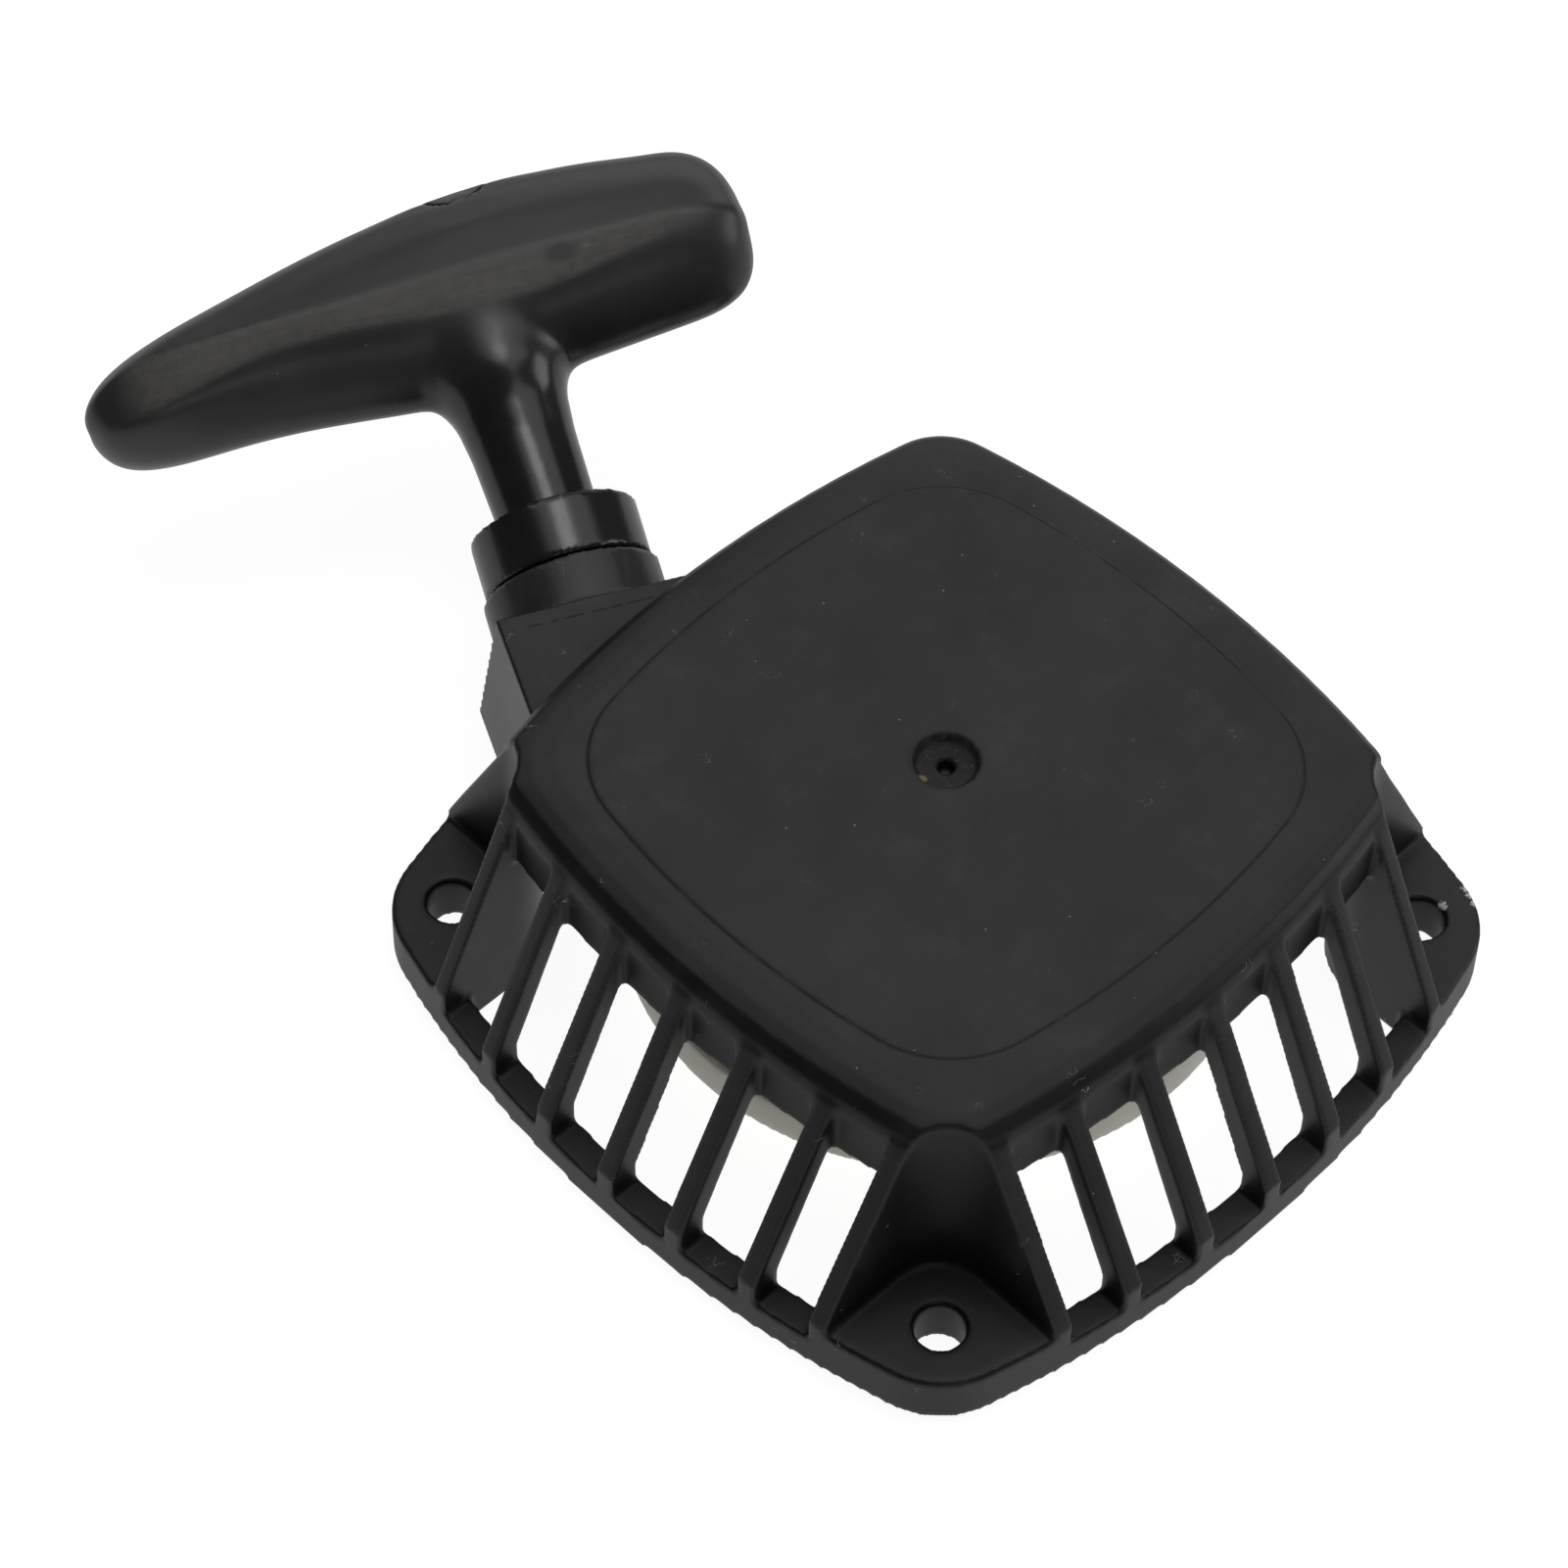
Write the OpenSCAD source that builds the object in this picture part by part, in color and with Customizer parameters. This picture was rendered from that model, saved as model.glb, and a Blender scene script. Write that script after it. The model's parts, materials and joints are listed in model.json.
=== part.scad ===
// Recoil starter for a small two-stroke engine, in millimetres.
// Z = 0 is the mounting face, +Z points out through the closed panel.
// The origin is the centre of the four mounting holes.
// The rope leaves on the +Y side, towards +X, and the neck lifts it off the mounting face.

/* [Housing] */
// distance between neighbouring mounting holes, the same along X and Y
hole_spacing = 88; // [60:0.5:120]
// radius of each mounting hole
mount_hole_r = 3.25; // [2:0.05:5]
// half the width of the flange across the middle of two opposite sides
flange_half = 59.1; // [50:0.1:70]
// how far the flange sits off the mounting holes' centre, towards -X and -Y
flange_shift = 0.4; // [0:0.1:1]
// radius of the long arc that each side of the flange follows
side_arc_r = 164; // [100:1:300]
// height of the outer panel above the mounting face
panel_z = 39.2; // [30:0.1:50]
// half the width of the dome at its vertical band
dome_half = 46; // [40:0.1:52]
// wall thickness of the moulded shell
wall = 2.5; // [1.5:0.1:4]
// thickness of the flange bar between the ribs
bar_h = 5; // [3:0.1:8]
// height of the solid corner lugs
lug_h = 7.6; // [5:0.1:12]
// distance between the middles of neighbouring ribs
rib_pitch = 11.6; // [8:0.1:15]
// how far the inner ribs sit off the middle of their side
rib_shift = 0.4; // [-2:0.1:2]
// width of one rib
rib_w = 2.8; // [2:0.1:5]
// distance from the centre planes to the flat walls of the corner pockets
pocket_wall = 35.3; // [30:0.1:40]
// the same for the shallow pocket in the corner towards +X and +Y
shallow_wall = 37.4; // [30:0.1:40]
// radius of the inner corner of each pocket
pocket_r = 8; // [3:0.5:12]

/* [Rope and outlet] */
// direction of the rope seen along Z, in degrees from +Y towards +X
rope_turn = 26.5; // [0:0.5:45]
// lift of the neck off the mounting plane, in degrees
rope_lift = 19; // [0:0.5:30]
// sideways distance from the reel axle to the rope
rope_offset = 32.9; // [25:0.1:38]
// distance along the rope from the reel axle to the face of the neck
neck_along = 53.6; // [45:0.1:65]
// height of the rope's middle at the face of the neck
neck_z = 23.2; // [15:0.1:30]
// outside radius of the neck
neck_r = 11.9; // [8:0.1:15]
// radius of the rope
rope_r = 1.8; // [1.2:0.1:3]
// height of the rope where it leaves the reel
rope_z = 19.4; // [15:0.1:25]

/* [Handle] */
// turn of the handle about the rope, in degrees
grip_roll = 8; // [0:1:90]
// radius of the round foot of the handle that seats on the neck
foot_r = 11.25; // [8:0.1:15]
// length of the round foot
foot_len = 8.2; // [5:0.1:12]
// radius of the handle's stem where it leaves the foot
stem_r = 6.75; // [4:0.05:9]
// lean of the stem towards the long end of the grip, in degrees
stem_lean = 2; // [0:0.5:6]

/* [Reel] */
// radius of the reel's rim
reel_r = 41; // [35:0.1:42]
// height of the rim's edge nearest the engine
reel_z = 9; // [6:0.1:12]
// height of the reel's upper flange
reel_top_z = 25; // [22:0.1:26]
// radius of the drum that the rope winds on
drum_r = 23.9; // [18:0.1:28]
// radius of the moulded axle that the reel turns on
axle_r = 4.8; // [4:0.05:7]
// radial clearance of every running fit
run_fit = 0.06; // [0.02:0.01:0.1]

/* [Ratchet] */
// distance from the reel axle to each pawl's pin
pawl_pin_at = 15; // [12:0.1:18]
// radius of each pawl's pin
pawl_pin_r = 1.5; // [1:0.05:2.5]
// lower face of the pawls
pawl_z = 5.4; // [4:0.1:7]

/* [Hidden] */
// which sub-part is drawn
// every sub-part, in the order they are drawn
// fineness of ordinary round parts
$fn = 64;
// height of the panel's inner face
panel_in_z = panel_z - wall;
// lower edge of the dome's vertical band, which is the top of every slot
slot_top_z = 26.4;
// distance along the rope at which it bends up into the neck
bend_along = neck_along - (neck_z - rope_z) / tan(rope_lift);
// distance from the neck's face back to that bend
bend_back = (neck_z - rope_z) / sin(rope_lift);
// height of the top of the rope outlet block
spout_z = 33;
// distance along the rope of the outlet block's top front edge
spout_along = 42.7;
// half the width of the outlet block
spout_half = 13;
// the grip from its long end to its short end: [distance from the stem's middle, then the
// distances from the neck's face to its finger side, to the flat's two edges and to its back,
// and half its height]
grip_rows = [
    [-55.2, 36.6, 37.6, 38.6, 40.2, 3], [-54.4, 34.8, 36.2, 39.4, 41.8, 5.2],
    [-52.6, 33, 35.2, 40.2, 43.6, 7.2], [-49.5, 31.6, 34.8, 41.2, 45.4, 8.8],
    [-45, 30.8, 35.3, 42, 47.3, 9.7], [-40, 30.6, 36.4, 42.4, 49, 10],
    [-34, 30.5, 37.6, 42.6, 50.7, 10], [-27, 30, 38.4, 42.6, 52.6, 10],
    [-20, 29.2, 38, 42.6, 54.3, 10], [-12, 28.2, 37.3, 42.7, 55.8, 10],
    [-4, 28, 36.5, 42.9, 56.8, 10], [4, 28.2, 36.6, 43, 57.2, 10],
    [11, 28.8, 37.4, 42.8, 57, 10], [18, 29.3, 38.3, 42.5, 56.3, 10],
    [25, 29.8, 38.9, 42.1, 55.1, 9.9], [29.6, 30.3, 39.3, 41.8, 54.5, 9.4],
    [32.9, 31.6, 39.4, 41.6, 52.7, 8.2], [35.1, 33.8, 39.4, 41.4, 49.8, 6.4],
    [36.2, 37, 39.4, 41.2, 45.4, 3.6]];
// points along each long arc of an outline, and along each corner arc
side_steps = 14;
corner_steps = 8;
// rings of the grip from each of its rows to the next
grip_steps = 2;
// the guide plate's cam: its largest and smallest radius, and the angle it falls away from
cam_high_r = 16.6;
cam_low_r = 10.8;
cam_from = -28;
// radius of the three screws' circle on the spring cover
cover_screw_at = 35.5;

// Points of one outline of the housing: four long arcs joined by corner arcs.
function outline_points(half, corner_r, arc_r) =
    let (back = arc_r - half,
        corner = (sqrt(2 * pow(arc_r - corner_r, 2) - back * back) - back) / 2,
        swing = atan2(corner, corner + back))
    [for (turn = [0:90:270], i = [1:side_steps + corner_steps])
        let (a = i < side_steps ? swing * (2 * i / side_steps - 1)
                : swing + (90 - 2 * swing) * (i - side_steps) / corner_steps,
            x = i < side_steps ? arc_r * cos(a) - back : corner + corner_r * cos(a),
            y = i < side_steps ? arc_r * sin(a) : corner + corner_r * sin(a))
        [x * cos(turn) - y * sin(turn), x * sin(turn) + y * cos(turn)]];

// A solid skinned over rings of points, every ring with as many points as the next.
module skin(rings) {
    count = len(rings[0]);
    top = len(rings) - 1;
    polyhedron(
        points = [for (ring = rings, p = ring) p],
        faces = concat(
            [[for (i = [0:count - 1]) i]],
            [[for (i = [count - 1:-1:0]) top * count + i]],
            [for (k = [0:top - 1], i = [0:count - 1])
                [k * count + i, (k + 1) * count + i, (k + 1) * count + (i + 1) % count]],
            [for (k = [0:top - 1], i = [0:count - 1])
                [k * count + i, (k + 1) * count + (i + 1) % count, k * count + (i + 1) % count]]));
}

// A solid over outlines at several heights: [height, half width, corner radius].
module loft(layers) {
    skin([for (layer = layers)
        [for (p = outline_points(layer[1], layer[2], side_arc_r)) [p[0], p[1], layer[0]]]]);
}

// The dome's outside, with its rounded shoulder.
module dome_outside() {
    loft([[slot_top_z, dome_half, 9],
        [34.6, dome_half, 9],
        [36.2, dome_half - 0.6, 9],
        [37.4, dome_half - 1.8, 9],
        [38.3, dome_half - 3.9, 9.4],
        [panel_z - 0.3, dome_half - 6.6, 10]]);
}

// The dome's inside, open towards the engine.
module dome_inside() {
    loft([[slot_top_z - 1, dome_half - wall, 7],
        [34, dome_half - wall, 7],
        [panel_in_z - 0.01, dome_half - wall - 4, 6]]);
}

// The sloping outside that the ribs, lugs and corner walls end on.
module skirt_outside() {
    translate([-flange_shift, -flange_shift, 0])
        loft([[0, flange_half - flange_shift, 12.4],
            [8.6, flange_half - flange_shift - 0.1, 12],
            [35.2, dome_half - flange_shift, 9]]);
}

// The inside of the ribs and of the flange bar.
module skirt_inside() {
    loft([[-1, flange_half - 4.5, 11],
        [8.4, flange_half - 4.5, 11],
        [slot_top_z + 0.6, dome_half + 0.2, 9]]);
}

// Upright slabs that become the ribs of the side that faces +Y before it is turned.
module rib_slabs(first, last, shift) {
    for (i = [first:last])
        translate([i * rib_pitch + shift - rib_w / 2, dome_half - 3, -1])
            cube([rib_w, 20, 40]);
}

// Ribs on three sides, and on the outlet side beside the outlet block.
module all_slabs() {
    rotate([0, 0, 90])
        rib_slabs(-2, 2, -rib_shift);
    rotate([0, 0, 180])
        rib_slabs(-2, 2, rib_shift);
    rotate([0, 0, 270])
        rib_slabs(-2, 2, rib_shift);
    rib_slabs(1, 2, -rib_shift);
    // closed wall behind the outlet block
    translate([-34, dome_half - 3, -1])
        cube([46, 20, 40]);
    // flange bar
    translate([0, 0, -1])
        cylinder(r = 90, h = bar_h + 1);
}

// The room of the four corner pockets, made larger by a margin: square, inner corner rounded.
module corner_regions(margin, round_r, z, h) {
    for (turn = [0:90:270]) {
        from = (turn == 0 ? shallow_wall : pocket_wall) - margin;
        rotate([0, 0, turn]) {
            translate([from + round_r, from, z])
                cube([60, 60, h]);
            translate([from, from + round_r, z])
                cube([60, 60, h]);
            translate([from + round_r, from + round_r, z])
                cylinder(r = round_r, h = h);
        }
    }
}

// Moves to the rope's line seen along Z: X is sideways, Y is along the rope.
module along_rope() {
    rotate([0, 0, -rope_turn])
        children();
}

// Moves to the middle of the neck's face: Y runs out along the lifted rope.
module at_neck() {
    along_rope()
        translate([-rope_offset, neck_along, neck_z])
            rotate([rope_lift, 0, 0])
                children();
}

// A cylinder along the rope, from one distance to another.
module rope_cyl(r, from, to) {
    translate([0, from, 0])
        rotate([-90, 0, 0])
            cylinder(r = r, h = to - from);
}

// The outlet block: a box whose front leans back with the neck.
module outlet_block(side, back, front, low, high) {
    lean = tan(rope_lift);
    along_rope()
        translate([-rope_offset, 0, 0])
            rotate([90, 0, 90])
                translate([0, 0, -side])
                    linear_extrude(2 * side)
                        polygon([[back, low], [spout_along - front + (spout_z - low) * lean, low],
                            [spout_along - front + (spout_z - high) * lean, high], [back, high]]);
}

// Screw bosses for the spring cover, under the panel.
module cover_bosses(r, z, top) {
    for (turn = [100, 220, 340])
        rotate([0, 0, turn])
            translate([cover_screw_at, 0, z])
                cylinder(r = r, h = top - z);
}

module housing() {
    color([0.05, 0.05, 0.055])
        difference() {
            union() {
                // dome shell and outlet block, cut clear of the reel
                difference() {
                    union() {
                        dome_outside();
                        outlet_block(spout_half, 22, 0, 0, spout_z);
                    }
                    dome_inside();
                    translate([0, 0, -1])
                        cylinder(r = 42.6, h = 28);
                }
                // raised middle of the panel
                translate([0, 0, panel_z - 1])
                    linear_extrude(1)
                        polygon(outline_points(37.6, 15, 128));
                // ribs, flange bar and the wall behind the outlet block
                difference() {
                    intersection() {
                        skirt_outside();
                        all_slabs();
                    }
                    skirt_inside();
                }
                // corner lugs and the walls of their pockets
                intersection() {
                    union() {
                        skirt_outside();
                        dome_outside();
                    }
                    corner_regions(wall, pocket_r + 2, 0, 50);
                }
                // neck
                at_neck()
                    rope_cyl(neck_r, -9.5, -0.4);
                // axle post with its thrust shoulder
                translate([0, 0, 25.6])
                    cylinder(r = 8, h = panel_in_z + 0.5 - 25.6);
                translate([0, 0, 8])
                    cylinder(r = axle_r, h = 20);
                cover_bosses(3, 27.5, panel_in_z + 0.5);
            }
            // corner pockets above the lugs
            corner_regions(0, pocket_r, lug_h, 50);
            // mounting holes
            for (x = [-1, 1], y = [-1, 1])
                translate([x * hole_spacing / 2, y * hole_spacing / 2, -1])
                    cylinder(r = mount_hole_r, h = lug_h + 2);
            // hollow of the outlet block, open to the engine side
            difference() {
                outlet_block(spout_half - wall, 18, wall / cos(rope_lift), -1, spout_z - wall);
                at_neck()
                    rope_cyl(7, -20, -5);
            }
            // room behind the neck's inner collar
            at_neck()
                rope_cyl(7.1, -40, -11.05);
            // bore of the neck
            at_neck()
                rope_cyl(3.5, -30, 1);
            // dimple and gate mark in the middle of the panel
            translate([0, 0, panel_z - 1.1])
                cylinder(r = 4.15, h = 2);
            translate([0, 0, panel_z - 3.2])
                cylinder(r = 1.15, h = 4);
            // hole for the threaded insert
            translate([0, 0, 7])
                cylinder(r = 3.4, h = 14);
            // pilot holes for the cover screws
            cover_bosses(0.95, 26, 33);
        }
}

module rope_eyelet() {
    color([0.72, 0.72, 0.7])
        at_neck()
            difference() {
                union() {
                    rope_cyl(3.48, -11.5, -0.45);
                    rope_cyl(4.6, -11.9, -11.1);
                }
                rope_cyl(2.3, -20, 2);
            }
}

module thread_insert() {
    color([0.75, 0.6, 0.3])
        difference() {
            translate([0, 0, 8.05])
                cylinder(r = 3.38, h = 11.5);
            translate([0, 0, 7])
                cylinder(r = 2.5, h = 14);
        }
}

module spring_case() {
    color([0.6, 0.6, 0.58])
        difference() {
            translate([0, 0, 27.3])
                cylinder(r = 31, h = 9.3);
            translate([0, 0, 27])
                cylinder(r = 29.8, h = 8.6);
            translate([0, 0, 26])
                cylinder(r = 8.2, h = 12);
        }
}

module spring_cover() {
    color([0.62, 0.62, 0.6])
        difference() {
            union() {
                translate([0, 0, 26.5])
                    cylinder(r = 31, h = 0.75);
                for (turn = [100, 220, 340])
                    rotate([0, 0, turn])
                        translate([27, -4, 26.5])
                            cube([12, 8, 0.75]);
            }
            translate([0, 0, 26])
                cylinder(r = 12.6, h = 3);
            for (turn = [100, 220, 340])
                rotate([0, 0, turn])
                    translate([cover_screw_at, 0, 26])
                        cylinder(r = 1.3, h = 3);
        }
}

module cover_screws() {
    color([0.55, 0.55, 0.55])
        for (turn = [100, 220, 340])
            rotate([0, 0, turn])
                translate([cover_screw_at, 0, 0])
                    difference() {
                        union() {
                            translate([0, 0, 25.7])
                                cylinder(r = 2.4, h = 0.78);
                            translate([0, 0, 26.4])
                                cylinder(r = 0.93, h = 6);
                        }
                        translate([-1.4, -0.25, 25.6])
                            cube([2.8, 0.5, 0.45]);
                        translate([-0.25, -1.4, 25.6])
                            cube([0.5, 2.8, 0.45]);
                    }
}

// One point of the rewind spring's spiral.
function spiral_point(step, steps, shift) =
    let (r = 12.5 + 16.4 * step / steps + shift, a = 360 * 8 * step / steps)
    [r * cos(a), r * sin(a)];

module rewind_spring() {
    steps = 176;
    color([0.45, 0.46, 0.48])
        translate([0, 0, 27.9])
            linear_extrude(7)
                polygon(concat(
                    [for (i = [0:steps]) spiral_point(i, steps, 0)],
                    [for (i = [steps:-1:0]) spiral_point(i, steps, 0.55)]));
}

module thrust_washer() {
    color([0.7, 0.7, 0.66])
        translate([0, 0, 25.1])
            difference() {
                cylinder(r = 8, h = 0.4);
                translate([0, 0, -1])
                    cylinder(r = axle_r + run_fit, h = 3);
            }
}

module reel() {
    color([0.9, 0.89, 0.83])
        difference() {
            union() {
                rotate_extrude($fn = 96)
                    polygon([[6.02, reel_z], [21, reel_z], [21, 11.5], [drum_r, 13], [drum_r, 13.8],
                        [38.6, 13.8], [38.6, reel_z], [reel_r, reel_z], [reel_r, 15.2], [40, 15.5],
                        [drum_r, 15.5], [drum_r, 23.3], [39.8, 23.5], [39.8, reel_top_z],
                        [20.8, reel_top_z], [20.8, 14.5], [10.5, 14.5], [10.5, 24.9], [11.6, 24.9],
                        [11.6, 33], [8.9, 33], [8.9, 25], [6.02, 25]]);
                // stiffening ribs under the lower flange
                for (turn = [15:30:345])
                    rotate([0, 0, turn])
                        translate([22, -0.8, reel_z + 0.6])
                            cube([17.5, 1.6, 4.6]);
                // hook block that the spring's inner end catches
                rotate([0, 0, 20])
                    translate([9.4, -1.2, 27.8])
                        cube([2.8, 2.4, 5.2]);
            }
            // lightening holes through the middle web
            for (turn = [30:60:330])
                rotate([0, 0, turn])
                    translate([15.6, 0, 11])
                        cylinder(r = 2.6, h = 8);
            // holes for the pawl pins
            for (turn = [0, 180])
                rotate([0, 0, turn])
                    translate([pawl_pin_at, 0, reel_z - 1])
                        cylinder(r = pawl_pin_r + 0.01, h = 3.6);
            // hole that the rope's inner end passes through
            translate([0, 0, 17.9])
                rotate([0, 0, 205])
                    rotate([0, 90, 0])
                        cylinder(r = 2.2, h = 30);
        }
}

module reel_bush() {
    color([0.72, 0.58, 0.3])
        translate([0, 0, reel_z + 0.1])
            difference() {
                cylinder(r = 6, h = 15.8);
                translate([0, 0, -1])
                    cylinder(r = axle_r + run_fit, h = 20);
            }
}

// Rope on the drum, from the point where it leaves: a whole turn, or part of one.
module rope_turn_at(r, z, sweep = 360) {
    translate([0, 0, z])
        rotate([0, 0, 180.6 - rope_turn])
            rotate_extrude(angle = sweep, $fn = 96)
                translate([r, 0])
                    circle(r = rope_r - 0.01, $fn = 24);
}

module rope_windings() {
    color([0.08, 0.08, 0.08]) {
        for (z = [17.4, 21.2]) {
            rope_turn_at(drum_r + rope_r + 0.02, z);
            rope_turn_at(drum_r + 3.12 * rope_r, z);
        }
        rope_turn_at(rope_offset, rope_z, 262);
    }
}

module rope_reel_knot() {
    color([0.08, 0.08, 0.08])
        rotate([0, 0, 205])
            translate([16.6, 0, 17.9]) {
                sphere(r = 3.3);
                rotate([0, 90, 0])
                    cylinder(r = 1.7, h = 7.2);
            }
}

module pawl_pins() {
    color([0.7, 0.7, 0.72])
        for (turn = [0, 180])
            rotate([0, 0, turn])
                translate([pawl_pin_at, 0, pawl_z])
                    cylinder(r = pawl_pin_r, h = 6.1);
}

module pawl_springs() {
    color([0.6, 0.6, 0.62])
        for (turn = [0, 180])
            rotate([0, 0, turn])
                translate([pawl_pin_at, 0, 8.55]) {
                    rotate_extrude()
                        translate([2.3, 0])
                            circle(r = 0.3, $fn = 24);
                    translate([2.2, 0, 0])
                        rotate([-90, 0, 20])
                            cylinder(r = 0.25, h = 5);
                }
}

// One pawl at its pin. It lies inside the circle of the reel and its tip swings outwards.
module pawl_shape() {
    difference() {
        union() {
            translate([0, 0, pawl_z])
                cylinder(r = 3.2, h = 2.5);
            translate([0, 0, pawl_z])
                linear_extrude(2.5)
                    polygon([[-3.1, 0.5], [3.1, 0.5], [2.6, 6.2], [2.6, 10.6], [0.4, 11.2], [-2.2, 7.4]]);
            // drive peg that the guide plate's cam pushes
            translate([-1, 5, pawl_z - 1.6])
                cylinder(r = 0.9, h = 2);
        }
        translate([0, 0, pawl_z - 1])
            cylinder(r = pawl_pin_r + run_fit, h = 5);
    }
}

module pawl_1() {
    color([0.66, 0.66, 0.68])
        translate([pawl_pin_at, 0, 0])
            pawl_shape();
}

module pawl_2() {
    color([0.66, 0.66, 0.68])
        rotate([0, 0, 180])
            translate([pawl_pin_at, 0, 0])
                pawl_shape();
}

// Radius of the guide plate's cam at an angle: it falls away, then stays round.
function cam_r(a) = max(cam_low_r, cam_high_r - (cam_high_r - cam_low_r) * (a - cam_from) / 90);

module guide_plate() {
    color([0.7, 0.7, 0.72])
        difference() {
            translate([0, 0, 4.1])
                linear_extrude(0.9)
                    polygon([for (half_turn = [0, 180], a = [cam_from:6:cam_from + 174])
                        [cam_r(a) * cos(a + half_turn), cam_r(a) * sin(a + half_turn)]]);
            translate([0, 0, 3])
                cylinder(r = 4 + run_fit, h = 3);
        }
}

module friction_spring() {
    color([0.5, 0.5, 0.52])
        translate([0, 0, 3.62])
            difference() {
                rotate_extrude()
                    translate([9.2, 0])
                        circle(r = 0.42, $fn = 16);
                rotate([0, 0, 20])
                    translate([5, -2, -2])
                        cube([8, 4, 4]);
            }
}

module spacer_sleeve() {
    color([0.6, 0.6, 0.6])
        difference() {
            translate([0, 0, 3.72])
                cylinder(r = 4, h = 4.26);
            translate([0, 0, 3])
                cylinder(r = 2.55, h = 6);
        }
}

module screw_washer() {
    color([0.72, 0.72, 0.74])
        difference() {
            translate([0, 0, 3])
                cylinder(r = 7.4, h = 0.7);
            translate([0, 0, 2])
                cylinder(r = 2.6, h = 3);
        }
}

module centre_screw() {
    color([0.4, 0.4, 0.42])
        difference() {
            union() {
                translate([0, 0, 0.9])
                    cylinder(r = 4.4, h = 2.08);
                translate([0, 0, 2.5])
                    cylinder(r = 2.45, h = 15.5);
            }
            // cross recess
            for (turn = [0, 90])
                rotate([0, 0, turn])
                    translate([-2.6, -0.5, 0.5])
                        cube([5.2, 1, 1.7]);
        }
}

module rope_run() {
    color([0.08, 0.08, 0.08]) {
        along_rope()
            translate([-rope_offset, 0, rope_z]) {
                rope_cyl(rope_r - 0.03, 0, bend_along + 0.3);
                translate([0, bend_along, 0])
                    sphere(r = rope_r);
            }
        at_neck()
            rope_cyl(rope_r - 0.05, -bend_back, 43.6);
    }
}

module rope_handle_knot() {
    color([0.08, 0.08, 0.08])
        at_neck() {
            translate([0, 47.6, 0])
                sphere(r = 3.9);
            translate([0, 45.4, 0])
                rotate([90, 0, 0])
                    rotate_extrude()
                        translate([2.1, 0])
                            circle(r = 1.4, $fn = 24);
        }
}

module knot_washer() {
    color([0.7, 0.7, 0.72])
        at_neck()
            difference() {
                rope_cyl(4.7, 42.8, 43.8);
                rope_cyl(2.1, 40, 46);
            }
}

// Moves to the handle, turned about the rope as it rests.
module at_handle() {
    at_neck()
        rotate([0, -grip_roll, 0])
            children();
}

// One ring of points round the grip, from a row of grip_rows.
function grip_ring(row) =
    let (front = row[1], edge = row[2], ridge = row[3], back = row[4], h = row[5],
        upper = [[back, 0], [back - 0.08 * (back - ridge), 0.3 * h],
            [back - 0.26 * (back - ridge), 0.56 * h], [back - 0.58 * (back - ridge), 0.82 * h],
            [ridge, h], [edge, 0.94 * h], [edge - 0.3 * (edge - front), 0.8 * h],
            [edge - 0.62 * (edge - front), 0.54 * h], [edge - 0.88 * (edge - front), 0.26 * h],
            [front, 0]])
    concat([for (p = upper) [row[0], p[0], p[1]]],
        [for (i = [len(upper) - 2:-1:1]) [row[0], upper[i][0], -upper[i][1]]]);

// A row part of the way from row b to row c, on a smooth curve through a, b, c and d.
function between_rows(a, b, c, d, part) =
    0.5 * (2 * b + (c - a) * part + (2 * a - 5 * b + 4 * c - d) * pow(part, 2)
        + (3 * b - a - 3 * c + d) * pow(part, 3));

// The bar of the grip, skinned over its rows and over smooth rows between them.
module grip_body() {
    last = len(grip_rows) - 1;
    between = [for (k = [0:last - 1], i = [0:grip_steps - 1])
        between_rows(grip_rows[max(k - 1, 0)], grip_rows[k], grip_rows[k + 1],
            grip_rows[min(k + 2, last)], i / grip_steps)];
    skin([for (row = concat(between, [grip_rows[last]])) grip_ring(row)]);
}

module handle_grip() {
    color([0.03, 0.03, 0.035])
        at_handle()
            difference() {
                union() {
                    rope_cyl(foot_r, 0, foot_len);
                    // stem, swelling into the grip and leaning a little towards its long end
                    rotate([-90, 0, stem_lean])
                        rotate_extrude()
                            polygon([[0, 5], [stem_r, 5], [stem_r, foot_len], [stem_r + 0.4, 20],
                                [stem_r + 1, 25], [stem_r + 2.4, 28.5], [stem_r + 2.4, 38], [0, 38]]);
                    grip_body();
                }
                // hollow of the round foot
                rope_cyl(8.6, -1, 4.5);
                // passage for the rope
                rope_cyl(2.4, -1, 60);
                // pocket for the knot, closed by the cap
                rope_cyl(4.95, 42.6, 60);
            }
}

module handle_cap() {
    color([0.03, 0.03, 0.035])
        at_handle()
            difference() {
                intersection() {
                    rope_cyl(4.9, 52, 60);
                    grip_body();
                }
                rope_cyl(3.9, 50, 53.4);
            }
}

housing();
rope_eyelet();
thread_insert();
spring_case();
spring_cover();
cover_screws();
rewind_spring();
thrust_washer();
reel();
reel_bush();
rope_windings();
rope_reel_knot();
pawl_pins();
pawl_springs();
pawl_1();
pawl_2();
guide_plate();
friction_spring();
spacer_sleeve();
screw_washer();
centre_screw();
rope_run();
rope_handle_knot();
knot_washer();
handle_grip();
handle_cap();
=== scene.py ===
"""Recoil starter: the looks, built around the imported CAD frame. Everything is in metres."""

import json
import math

import bpy
import numpy as np
from mathutils import Matrix, Vector


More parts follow.
